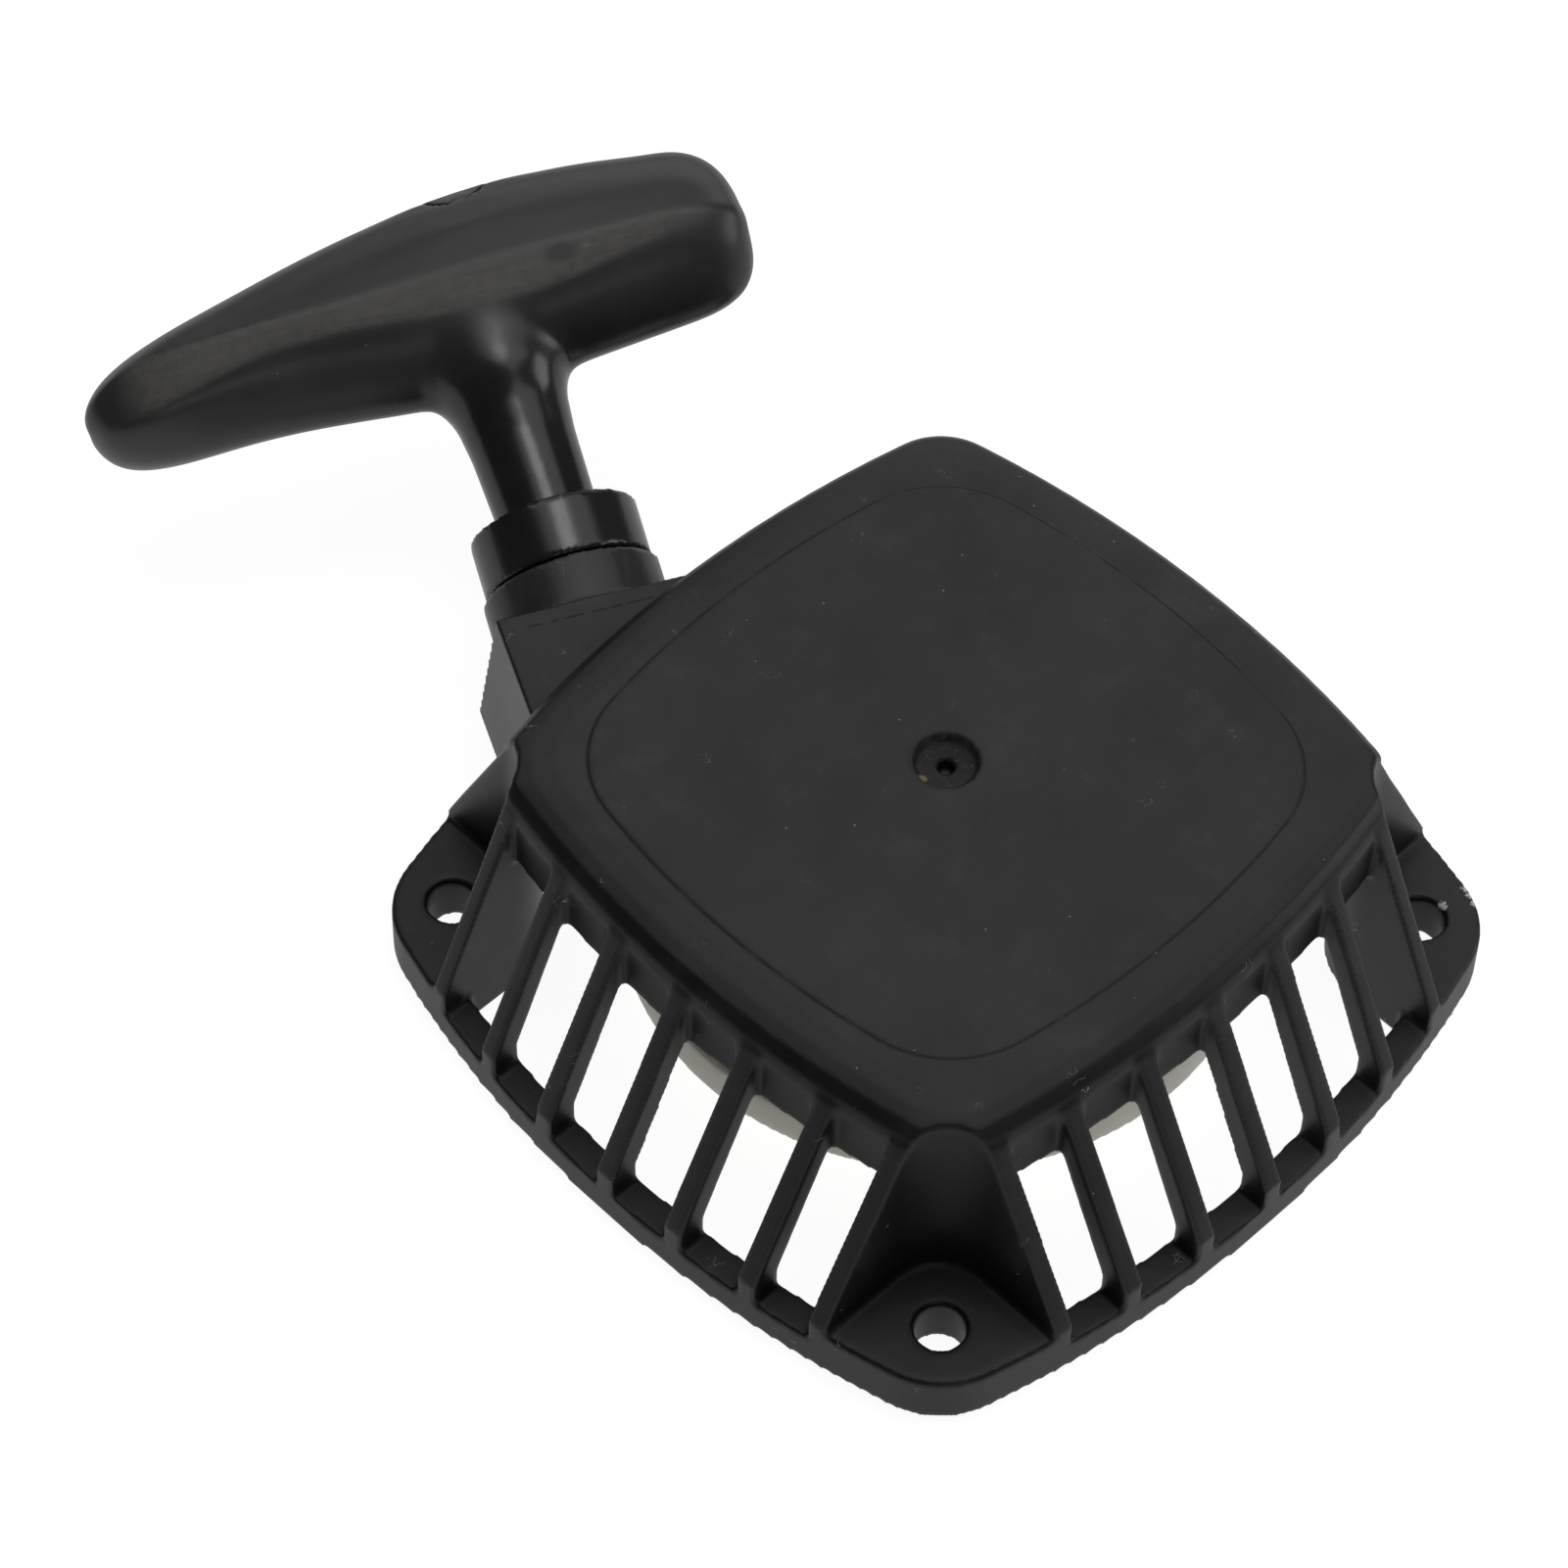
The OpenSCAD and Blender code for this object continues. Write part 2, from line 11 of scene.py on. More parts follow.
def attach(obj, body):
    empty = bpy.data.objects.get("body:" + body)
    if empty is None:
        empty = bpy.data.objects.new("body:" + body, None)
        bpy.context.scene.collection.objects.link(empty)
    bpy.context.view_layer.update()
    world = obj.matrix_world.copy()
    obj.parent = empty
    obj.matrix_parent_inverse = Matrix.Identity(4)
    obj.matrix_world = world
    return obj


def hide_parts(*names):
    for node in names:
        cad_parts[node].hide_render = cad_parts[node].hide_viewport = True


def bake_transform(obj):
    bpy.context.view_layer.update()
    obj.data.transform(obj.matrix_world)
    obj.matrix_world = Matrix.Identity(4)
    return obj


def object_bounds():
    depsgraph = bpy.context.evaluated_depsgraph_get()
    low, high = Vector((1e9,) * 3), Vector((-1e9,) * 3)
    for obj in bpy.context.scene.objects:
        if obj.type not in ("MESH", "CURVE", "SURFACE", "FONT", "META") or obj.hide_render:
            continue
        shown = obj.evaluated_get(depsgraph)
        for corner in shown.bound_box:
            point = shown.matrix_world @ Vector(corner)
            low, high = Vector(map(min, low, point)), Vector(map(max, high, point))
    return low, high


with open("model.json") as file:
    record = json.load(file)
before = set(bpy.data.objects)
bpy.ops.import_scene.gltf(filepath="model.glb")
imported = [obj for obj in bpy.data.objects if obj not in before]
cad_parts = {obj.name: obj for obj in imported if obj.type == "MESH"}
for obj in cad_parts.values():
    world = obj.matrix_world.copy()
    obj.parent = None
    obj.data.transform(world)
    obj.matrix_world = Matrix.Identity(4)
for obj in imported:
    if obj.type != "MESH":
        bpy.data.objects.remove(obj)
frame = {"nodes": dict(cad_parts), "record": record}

CAD_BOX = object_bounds()
NODES = frame["nodes"]
MM = 0.001

# ---------------------------------------------------------------- places taken from part.scad
PANEL_Z = 39.2 * MM                  # height of the outer panel
PANEL_HALF, PANEL_CORNER, PANEL_ARC = 37.6 * MM, 15 * MM, 128 * MM
PANEL_STEP = 0.3 * MM                # how far its middle stands above the dome's shoulder
PANEL_BLEND = 0.9 * MM               # how wide the soft step round it is
ROPE_TURN, ROPE_LIFT = math.radians(26.5), math.radians(19)
GRIP_ROLL = math.radians(8)
ROPE_OFFSET, NECK_ALONG, NECK_Z = 32.9 * MM, 53.6 * MM, 23.2 * MM
ROPE_Z, ROPE_R = 19.4 * MM, 1.8 * MM
DRUM_R = 23.9 * MM
KNOT_TURN, KNOT_AT, KNOT_Z = math.radians(205), 16.6 * MM, 17.9 * MM
VOXEL = 0.45 * MM    # of the housing and the grip
REEL_VOXEL = 0.4 * MM
SOFT_ROUNDS = 60           # how often the grip's faces are relaxed
WELD_WITHIN = 0.001 * MM
# the grip's parting line: [along the grip, from the neck's face, half height]
PARTING = ((-55.2, 38.6, 3), (-54.4, 39.4, 5.2), (-52.6, 40.2, 7.2), (-49.5, 41.2, 8.8), (-45, 42, 9.7),
           (-34, 42.6, 10), (-12, 42.7, 10), (4, 43, 10), (18, 42.5, 10), (29.6, 41.8, 9.4),
           (32.9, 41.6, 8.2), (35.1, 41.4, 6.4), (36.2, 41.2, 3.6))
FLASH_ALONG = 40.3 * MM              # where the line of flash crosses the outlet block
# the marked lug: places on its outer edge and beside its hole, and how big each chip is
CHIPS = (
    ((51.8 * MM, -44.9 * MM, 7.4 * MM), 1.2 * MM),
    ((51.4 * MM, -46.1 * MM, 7.4 * MM), 1.1 * MM),
    ((50.8 * MM, -47.2 * MM, 7.4 * MM), 1.0 * MM),
    ((47.4 * MM, -44.6 * MM, 7.5 * MM), 1.2 * MM),
)
BEND_BACK = (NECK_Z - ROPE_Z) / math.sin(ROPE_LIFT)
BEND_ALONG = NECK_ALONG - (NECK_Z - ROPE_Z) / math.tan(ROPE_LIFT)


def along_rope(x, y, z):
    """A point given across and along the rope, seen along Z, as a point of the frame."""
    c, s = math.cos(ROPE_TURN), math.sin(ROPE_TURN)
    return Vector((x * c + y * s, -x * s + y * c, z))


def at_neck(x, y, z):
    """A point given across, along and above the lifted rope, from the neck's face."""
    c, s = math.cos(ROPE_LIFT), math.sin(ROPE_LIFT)
    return along_rope(x - ROPE_OFFSET, NECK_ALONG + y * c - z * s, NECK_Z + y * s + z * c)


NECK_FACE = at_neck(0, 0, 0)
PULL = (at_neck(0, 1, 0) - NECK_FACE).normalized()
GRIP_ALONG = (at_neck(math.cos(GRIP_ROLL), 0, math.sin(GRIP_ROLL)) - NECK_FACE).normalized()
GRIP_UP = GRIP_ALONG.cross(PULL).normalized()


# ---------------------------------------------------------------- materials
class Graph:
    """One material's node tree, built with short calls. Lengths are in metres."""

    def __init__(self, name):
        self.material = bpy.data.materials.new(name)
        self.material.use_nodes = True
        self.tree = self.material.node_tree
        self.shader = self.tree.nodes["Principled BSDF"]
        self.place = self.add("ShaderNodeTexCoord").outputs["Object"]

    def add(self, kind, inputs=(), **settings):
        node = self.tree.nodes.new(kind)
        for key, value in settings.items():
            setattr(node, key, value)
        for key, value in inputs:
            self.put(node.inputs[key], value)
        return node

    def put(self, socket, value):
        if isinstance(value, bpy.types.NodeSocket):
            self.tree.links.new(value, socket)
        else:
            socket.default_value = value

    def math(self, operation, a, b=0.0):
        return self.add("ShaderNodeMath", ((0, a), (1, b)), operation=operation).outputs[0]

    def dot(self, a, b):
        node = self.add("ShaderNodeVectorMath", ((0, a), (1, b)), operation="DOT_PRODUCT")
        return node.outputs["Value"]

    def product(self, *factors):
        result = factors[0]
        for factor in factors[1:]:
            result = self.math("MULTIPLY", result, factor)
        return result

    def distance(self, point):
        node = self.add("ShaderNodeVectorMath", ((0, self.place), (1, point)),
                        operation="DISTANCE")
        return node.outputs["Value"]

    def ramp(self, value, low, high, to_low=0.0, to_high=1.0):
        node = self.add("ShaderNodeMapRange", ((0, value), (1, low), (2, high),
                                               (3, to_low), (4, to_high)),
                        interpolation_type="SMOOTHSTEP")
        return node.outputs[0]

    def noise(self, size, detail=2.0, roughness=0.5, stretch=None):
        place = self.place
        if stretch:
            place = self.add("ShaderNodeVectorMath", ((0, place), (1, stretch)),
                             operation="MULTIPLY").outputs[0]
        return self.add("ShaderNodeTexNoise", (("Vector", place), ("Scale", 1 / size),
                                               ("Detail", detail),
                                               ("Roughness", roughness))).outputs[0]

    def streaks(self, size, way, drawn_out=0.9):
        """Noise drawn out along one direction, as brushing leaves it."""
        along = self.math("MULTIPLY", self.dot(self.place, tuple(way)), drawn_out)
        shift = self.add("ShaderNodeVectorMath", ((0, tuple(way)), ("Scale", along)), operation="SCALE")
        place = self.add("ShaderNodeVectorMath", ((0, self.place), (1, shift.outputs[0])),
                         operation="SUBTRACT").outputs[0]
        return self.add("ShaderNodeTexNoise", (("Vector", place), ("Scale", 1 / size), ("Detail", 3),
                                               ("Roughness", 0.6))).outputs[0]

    def specks(self, spacing, radius, share):
        """1 inside small round specks: about one to each cell, kept for this share of cells."""
        cell = self.add("ShaderNodeTexVoronoi", (("Vector", self.place), ("Scale", 1 / spacing)))
        near = self.ramp(cell.outputs["Distance"], radius / spacing, 0.4 * radius / spacing)
        kept = self.math("LESS_THAN", self.add("ShaderNodeSeparateColor",
                         ((0, cell.outputs["Color"]),)).outputs[0], share)
        return self.math("MULTIPLY", near, kept)

    def lint(self, size, spread):
        """1 on thin curly hairs, here and there."""
        off_line = self.math("ABSOLUTE", self.math("SUBTRACT", self.noise(size, 1, 0.5), 0.5))
        return self.math("MULTIPLY", self.ramp(off_line, 0.010, 0.005),
                         self.ramp(self.noise(2.6 * size, 0), spread, spread + 0.03))

    def mix(self, factor, a, b):
        node = self.add("ShaderNodeMix", ((0, factor), (6, a), (7, b)), data_type="RGBA")
        return node.outputs[2]

    def bump(self, height, distance, strength, after=None):
        node = self.add("ShaderNodeBump", (("Height", height), ("Distance", distance),
                                           ("Strength", strength)))
        if after:
            self.put(node.inputs["Normal"], after)
        return node.outputs[0]

    def finish(self, **sockets):
        for name, value in sockets.items():
            self.put(self.shader.inputs[name.replace("_", " ")], value)
        return self.material


def rgb(r, g=None, b=None):
    return (r, r if g is None else g, r if b is None else b, 1.0)


def moulded_black():
    """Black nylon: grained, duller on its flats, with dust, worn edges and stress marks. Its up-facing
    flats carry painted light, the panel a painted shadow line at its step, the neck a painted highlight.
    """
    g = Graph("black_nylon")
    normal = g.add("ShaderNodeNewGeometry")
    z = g.dot(g.place, (0, 0, 1))
    up = g.dot(normal.outputs["Normal"], (0, 0, 1))
    # flats that face up are duller, and paler partly for their grain and partly as painted light: most 22
    # to 33 mm up, where the outlet block gets less light, a little less on the panel, least on the lugs
    height = g.math("ADD", g.ramp(z, 9 * MM, 22 * MM, 0.7, 1.2), g.ramp(z, 33.2 * MM, 35 * MM, 0, -0.2))
    dull_and_painted_pale_flats = g.math("MULTIPLY", height, g.ramp(up, 0.86, 0.95))
    clouds = g.noise(22 * MM, 3, 0.6)
    grain = g.noise(0.32 * MM, 2, 0.6)
    colour = g.mix(g.ramp(clouds, 0.35, 0.7), rgb(0.006, 0.0062, 0.0065), rgb(0.01, 0.0101, 0.0105))
    haze = g.ramp(g.noise(16 * MM, 3, 0.6), 0.3, 0.7, 0.5, 0.75)
    colour = g.mix(g.math("MULTIPLY", dull_and_painted_pale_flats, haze), colour, rgb(0.038))
    # edges rubbed a little paler
    worn = g.ramp(normal.outputs["Pointiness"], 0.53, 0.62)
    worn = g.math("MULTIPLY", worn, g.ramp(g.noise(3 * MM, 3, 0.7), 0.42, 0.7))
    colour = g.mix(g.math("MULTIPLY", worn, 0.35), colour, rgb(0.085))
    # dust: fine specks everywhere, and a film in patches
    film = g.math("MULTIPLY", g.ramp(g.noise(7 * MM, 4, 0.7), 0.5, 0.78), 0.10)
    colour = g.mix(film, colour, rgb(0.12, 0.117, 0.11))
    dust = g.math("MAXIMUM", g.specks(3.1 * MM, 0.17 * MM, 0.28), g.specks(7.3 * MM, 0.26 * MM, 0.3))
    lint = g.math("MULTIPLY", g.lint(1.5 * MM, 0.76), g.ramp(z, 37 * MM, 38.5 * MM, 1, 0.3))
    dust = g.math("MAXIMUM", dust, lint)
    colour = g.mix(g.math("MULTIPLY", dust, 0.62), colour, rgb(0.42, 0.41, 0.38))
    # painted shadow: the thin dark line, broken in places, that the panel's step casts at its foot
    outline = g.add("ShaderNodeAttribute", attribute_name="panel_edge").outputs["Fac"]
    outline = g.math("ABSOLUTE", g.math("SUBTRACT", outline, 0.12 * MM))
    outline = g.product(g.ramp(outline, 0.26 * MM, 0.12 * MM), g.ramp(z, 38.0 * MM, 38.6 * MM),
                        g.ramp(g.noise(7 * MM, 3, 0.7), 0.36, 0.5, 0.15, 0.9))
    colour = g.mix(outline, colour, rgb(0.004))
    # a line of flash across the outlet block, and a neck painted paler as a painted highlight, with faint
    # brushing marks
    ahead = g.dot(g.place, tuple(along_rope(0, 1, 0)))
    flash = g.math("ABSOLUTE", g.math("SUBTRACT", ahead, FLASH_ALONG))
    flash = g.product(g.ramp(flash, 0.24 * MM, 0.1 * MM), g.ramp(up, 0.9, 0.97),
                      g.ramp(z, 31 * MM, 32 * MM), g.ramp(z, 34.5 * MM, 33.5 * MM),
                      g.ramp(g.noise(1.3 * MM, 2, 0.6), 0.42, 0.5))
    colour = g.mix(g.math("MULTIPLY", flash, 0.85), colour, rgb(0.004))
    out = g.add("ShaderNodeVectorMath", ((0, g.place), (1, tuple(NECK_FACE))), operation="SUBTRACT")
    on_neck = g.math("MULTIPLY", g.ramp(g.dot(out.outputs[0], tuple(PULL)), -9 * MM, -7.5 * MM),
                     g.ramp(g.distance(tuple(NECK_FACE)), 16 * MM, 14 * MM))
    # the neck's paleness is a painted highlight: 0.3 of the way to pale grey, and the brushing marks add
    # up to 0.14 more
    brushed = g.math("MULTIPLY", g.ramp(g.streaks(0.7 * MM, PULL), 0.42, 0.72), 0.14)
    brushed = g.math("ADD", 0.3, brushed)
    colour = g.mix(g.math("MULTIPLY", on_neck, brushed), colour, rgb(0.08))
    # the dimple, torn where the moulding's runner broke off, with a crumb of pale plastic
    off_axis = g.add("ShaderNodeVectorMath", ((0, g.place), (1, (1, 1, 0))), operation="MULTIPLY")
    off_axis = g.add("ShaderNodeVectorMath", ((0, off_axis.outputs[0]),), operation="LENGTH")
    torn = g.math("MULTIPLY", g.ramp(off_axis.outputs["Value"], 5.2 * MM, 3.9 * MM),
                  g.ramp(z, 37.0 * MM, 37.6 * MM))
    shreds = g.noise(0.7 * MM, 5, 0.8)
    flecks = g.math("MULTIPLY", torn, g.ramp(shreds, 0.56, 0.68))
    colour = g.mix(g.math("MULTIPLY", flecks, 0.5), colour, rgb(0.16, 0.155, 0.14))
    crumb = g.ramp(g.distance((-3.6 * MM, 0.5 * MM, 38.4 * MM)), 0.75 * MM, 0.45 * MM)
    colour = g.mix(g.math("MULTIPLY", crumb, 0.7), colour, rgb(0.3, 0.24, 0.12))
    # pale stress marks at one lug, where a screw and a knock have marked it
    for point, size in CHIPS:
        ragged = g.math("MULTIPLY", g.noise(0.5 * MM, 3, 0.75), 2.0 * size)
        mark = g.ramp(g.math("ADD", g.distance(point), ragged), 1.6 * size, 1.35 * size)
        colour = g.mix(mark, colour, rgb(0.5, 0.5, 0.48))
    rough = g.math("ADD", g.ramp(dull_and_painted_pale_flats, 0, 1, 0.37, 0.56), g.math("MULTIPLY", clouds, 0.08))
    rough = g.math("ADD", rough, g.math("MULTIPLY", dust, 0.2))
    rough = g.math("SUBTRACT", rough, g.math("MULTIPLY", on_neck, 0.1))
    relief = g.bump(grain, 0.02 * MM, 0.55)
    relief = g.bump(g.noise(5 * MM, 2, 0.5), 0.05 * MM, 0.5, relief)
    relief = g.bump(g.math("MULTIPLY", torn, shreds), 0.6 * MM, 0.8, relief)
    return g.finish(Base_Color=colour, Roughness=rough, Normal=relief, Specular_IOR_Level=0.34)


def grip_black():
    """Glossier black plastic, with the scuffed, dusty flat that runs along the grip."""
    g = Graph("grip_plastic")
    out = g.add("ShaderNodeVectorMath", ((0, g.place), (1, tuple(NECK_FACE))), operation="SUBTRACT")
    out = out.outputs[0]
    along = g.dot(out, tuple(GRIP_ALONG))
    away = g.dot(out, tuple(PULL))
    up = g.math("ABSOLUTE", g.dot(out, tuple(GRIP_UP)))
    # the flat: between its two edges, on the upper and the lower side
    edge = g.math("ADD", g.ramp(along, -50 * MM, -27 * MM, 34.6 * MM, 38.2 * MM),
                  g.math("SUBTRACT", g.ramp(along, 4 * MM, 30 * MM, 0, 2.9 * MM),
                         g.ramp(along, -22 * MM, 0, 0, 1.9 * MM)))
    flat = g.product(g.ramp(away, edge, g.math("ADD", edge, 1.1 * MM)), g.ramp(away, 43.0 * MM, 42.4 * MM),
                     g.ramp(up, 7.0 * MM, 8.0 * MM), g.ramp(along, -51 * MM, -45 * MM),
                     g.ramp(along, 33 * MM, 22 * MM))
    scuffs = g.noise(1.6 * MM, 5, 0.75)
    haze = g.noise(9 * MM, 3, 0.6)
    colour = g.mix(g.ramp(haze, 0.35, 0.7), rgb(0.012, 0.0122, 0.0127), rgb(0.016, 0.0161, 0.0165))
    bar = g.ramp(away, 24 * MM, 35 * MM)
    colour = g.mix(bar, colour, g.mix(g.ramp(haze, 0.3, 0.7), rgb(0.025), rgb(0.031)))
    pale = g.ramp(g.math("ADD", scuffs, g.math("MULTIPLY", g.streaks(0.8 * MM, GRIP_ALONG), 0.5)),
                  0.55, 1.0, 0.5, 1.15)
    colour = g.mix(g.math("MULTIPLY", flat, pale), colour, rgb(0.07, 0.067, 0.062))
    # a dark smudge on the upper flat, with a pale nick beside it
    for at, width, tone in ((11 * MM, 2.6 * MM, rgb(0.012)), (14.4 * MM, 1.0 * MM, rgb(0.12))):
        aside = g.math("MULTIPLY", g.math("SUBTRACT", along, at), 0.6)
        spot = g.add("ShaderNodeVectorMath", ((0, g.add("ShaderNodeCombineXYZ", (
            (0, aside), (1, g.math("SUBTRACT", away, 40.9 * MM)),
            (2, g.math("SUBTRACT", g.dot(out, tuple(GRIP_UP)), 9.6 * MM)))).outputs[0]),),
            operation="LENGTH").outputs["Value"]
        spot = g.ramp(g.math("ADD", spot, g.math("MULTIPLY", scuffs, 0.5 * MM)), 0.8 * width, 0.35 * width)
        colour = g.mix(g.math("MULTIPLY", spot, 0.75), colour, tone)
    dust = g.math("MAXIMUM", g.specks(3.6 * MM, 0.11 * MM, 0.25), g.specks(8 * MM, 0.2 * MM, 0.16))
    colour = g.mix(g.math("MULTIPLY", dust, 0.6), colour, rgb(0.42, 0.41, 0.38))
    rough = g.math("ADD", g.ramp(g.math("MULTIPLY", g.math("ADD", flat, bar), 0.5), 0, 1, 0.17, 0.5),
                   g.math("MULTIPLY", haze, 0.08))
    rough = g.math("ADD", rough, g.math("MULTIPLY", g.ramp(scuffs, 0.5, 0.8), 0.08))
    relief = g.bump(g.noise(0.4 * MM, 2, 0.6), 0.012 * MM, 0.4)
    relief = g.bump(g.noise(4 * MM, 2, 0.5), 0.05 * MM, 0.5, relief)
    scratches = g.streaks(0.45 * MM, GRIP_ALONG)
    relief = g.bump(g.math("MULTIPLY", scratches, flat), 0.04 * MM, 0.5, relief)
    return g.finish(Base_Color=colour, Roughness=rough, Normal=relief, Specular_IOR_Level=0.5)


def natural_nylon():
    """Cream moulded nylon with faint flow marks and patches of grease."""
    g = Graph("reel_nylon")
    flow = g.noise(14 * MM, 3, 0.6)
    colour = g.mix(g.ramp(flow, 0.3, 0.7), rgb(0.86, 0.85, 0.76), rgb(0.92, 0.91, 0.84))
    grime = g.math("MULTIPLY", g.ramp(g.noise(4 * MM, 5, 0.7), 0.6, 0.85), 0.3)
    colour = g.mix(grime, colour, rgb(0.36, 0.33, 0.26))
    relief = g.bump(g.noise(0.6 * MM, 2, 0.5), 0.015 * MM, 0.5)
    return g.finish(Base_Color=colour, Roughness=g.ramp(flow, 0.2, 0.8, 0.38, 0.52),
                    Normal=relief, Subsurface_Weight=0.6, Subsurface_Scale=3 * MM,
                    Subsurface_Radius=(1.0, 0.95, 0.8))


def metal(name, colour, dark, rough, brushed, stain=0.3):
    """Plated, blued or turned metal with brushing and stains."""
    g = Graph(name)
    cloud = g.noise(5 * MM, 4, 0.65)
    tone = g.mix(g.math("MULTIPLY", g.ramp(cloud, 0.45, 0.75), stain), rgb(*colour), rgb(*dark))
    lines = g.noise(0.35 * MM, 2, 0.6, stretch=(1.0, 0.12, 1.0))
    roughness = g.math("ADD", rough, g.math("MULTIPLY", cloud, 0.16))
    tone = g.mix(g.ramp(lines, 0.35, 0.75, 0, 0.2), tone, rgb(*dark))
    relief = g.bump(lines, 0.02 * MM, 0.4 + brushed)
    return g.finish(Base_Color=tone, Metallic=1.0, Roughness=roughness, Normal=relief)


def rope_black():
    """Black braided cord: fibres in the relief, and a few paler rubbed ones."""
    g = Graph("rope")
    fibre = g.noise(0.28 * MM, 3, 0.7)
    colour = g.mix(g.ramp(fibre, 0.4, 0.75), rgb(0.012), rgb(0.05, 0.05, 0.052))
    flecks = g.specks(2.4 * MM, 0.25 * MM, 0.3)
    colour = g.mix(g.math("MULTIPLY", flecks, 0.5), colour, rgb(0.3, 0.29, 0.26))
    relief = g.bump(fibre, 0.08 * MM, 0.8)
    return g.finish(Base_Color=colour, Roughness=0.78, Normal=relief, Sheen_Weight=0.3)


LOOKS = {
    "black_nylon": moulded_black(),
    "grip_plastic": grip_black(),
    "reel_nylon": natural_nylon(),
    "rope": rope_black(),
    "zinc_steel": metal("zinc_steel", (0.56, 0.56, 0.55), (0.26, 0.25, 0.22), 0.28, 0.1, 0.5),
    "spring_steel": metal("spring_steel", (0.22, 0.23, 0.26), (0.1, 0.09, 0.09), 0.3, 0.2),
    "brass": metal("brass", (0.72, 0.5, 0.2), (0.3, 0.18, 0.07), 0.24, 0.3),
}
SLOTS = {part["node"]: part["material_slot"] for part in frame["record"]["subparts"]}


# ---------------------------------------------------------------- geometry helpers
def new_piece(name, points, faces, material, smooth=True):
    mesh = bpy.data.meshes.new(name)
    mesh.from_pydata([tuple(p) for p in points], [], faces)
    mesh.polygons.foreach_set("use_smooth", [smooth] * len(mesh.polygons))
    mesh.update()
    piece = bpy.data.objects.new(name, mesh)
    bpy.context.scene.collection.objects.link(piece)
    mesh.materials.append(material)
    return piece


def read(mesh, what):
    """The places or the normals of a mesh's vertices, one row each."""
    values = np.empty(len(mesh.vertices) * 3)
    mesh.vertices.foreach_get(what, values)
    return values.reshape(-1, 3)


def moulded(node, voxel, rounds, reshape=None):
    """A fine copy of a moulded CAD node, softened as a mould leaves it, then perhaps reshaped."""
    work = bpy.data.objects.new(node + "_work", NODES[node].data.copy())
    work.matrix_world = NODES[node].matrix_world
    bpy.context.scene.collection.objects.link(work)
    weld = work.modifiers.new("weld", "WELD")
    weld.merge_threshold = WELD_WITHIN
    remesh = work.modifiers.new("remesh", "REMESH")
    remesh.mode = "VOXEL"
    remesh.voxel_size = voxel
    soften = work.modifiers.new("soften", "SMOOTH")
    soften.factor = 0.5
    soften.iterations = rounds
    bpy.context.view_layer.update()
    shown = work.evaluated_get(bpy.context.evaluated_depsgraph_get())
    mesh = bpy.data.meshes.new_from_object(shown)
    bpy.data.objects.remove(work)
    if reshape:
        edges = np.empty(len(mesh.edges) * 2, int)
        mesh.edges.foreach_get("vertices", edges)
        points = reshape(read(mesh, "co"), read(mesh, "normal"), edges.reshape(-1, 2))
        mesh.vertices.foreach_set("co", points.ravel())
    mesh.polygons.foreach_set("use_smooth", [True] * len(mesh.polygons))
    mesh.update()
    mesh.materials.clear()
    mesh.materials.append(LOOKS[SLOTS[node]])
    piece = bpy.data.objects.new(node + "_moulded", mesh)
    bpy.context.scene.collection.objects.link(piece)
    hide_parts(node)
    return piece


def relax(points, edges, weight, rounds):
    """Moves each point towards the middle of its neighbours, by its weight, again and again."""
    ends, others = np.concatenate([edges[:, 0], edges[:, 1]]), np.concatenate([edges[:, 1], edges[:, 0]])
    count = np.maximum(np.bincount(ends, minlength=len(points)), 1)
    points = points.copy()
    for _ in range(rounds):
        for axis in range(3):
            middle = np.bincount(ends, points[others, axis], len(points)) / count
            points[:, axis] += 0.5 * weight * (middle - points[:, axis])
    return points


def soft_step(value, low, high):
    part = np.clip((value - low) / (high - low), 0, 1)
    return part * part * (3 - 2 * part)


def soft_grip(points, normals, edges):
    """Rounds the grip's faces into each other, but leaves its parting line and foot crisp."""
    out = points - np.array(NECK_FACE)
    along, away = out @ np.array(GRIP_ALONG), out @ np.array(PULL)
    up = np.abs(out @ np.array(GRIP_UP))
    line_along, line_away, line_up = [[value * MM for value in row] for row in zip(*PARTING)]
    line_away = np.interp(along, line_along, line_away)
    line_up = np.interp(along, line_along, line_up)
    weight = 0.06 + 0.94 * soft_step(np.hypot(away - line_away, up - line_up), 0.5 * MM, 3.0 * MM)
    weight *= soft_step(away, 22 * MM, 28 * MM) + 0.1 * soft_step(away, 9 * MM, 12 * MM)
    weight *= np.where(away > 48 * MM, soft_step(np.hypot(along, up), 6.5 * MM, 13 * MM), 1)
    return relax(points, edges, np.minimum(weight, 1), SOFT_ROUNDS)


def panel_distance(x, y):
    """Distance outwards from the outline of the panel's raised middle."""
    x, y = np.abs(x), np.abs(y)
    back = PANEL_ARC - PANEL_HALF
    corner = (math.sqrt(2 * (PANEL_ARC - PANEL_CORNER) ** 2 - back * back) - back) / 2
    swing = math.atan2(corner, corner + back)
    angle = np.arctan2(y - corner, x - corner)
    in_corner = (x > corner) & (y > corner) & (angle > swing) & (angle < math.pi / 2 - swing)
    cx = np.where(in_corner, corner, np.where(x >= y, -back, 0))
    cy = np.where(in_corner, corner, np.where(x >= y, 0, -back))
    return np.hypot(x - cx, y - cy) - np.where(in_corner, PANEL_CORNER, PANEL_ARC)


def even_panel(place, normals, edges):
    """Gives the panel one even step round its raised middle, whatever the mesh is there."""
    top = (place[:, 2] > PANEL_Z - 1.2 * MM) & (normals[:, 2] > 0.6)
    top &= np.hypot(place[:, 0], place[:, 1]) > 8 * MM
    away = panel_distance(place[:, 0], place[:, 1])
    level = np.where(top & (np.abs(away) < 1.0 * MM), PANEL_Z - PANEL_STEP, place[:, 2])
    rise = np.clip(0.5 - away / PANEL_BLEND, 0, 1)
    raised = level + (PANEL_Z - level) * rise * rise * (3 - 2 * rise)
    out = place.copy()
    out[top, 2] = raised[top]
    return out


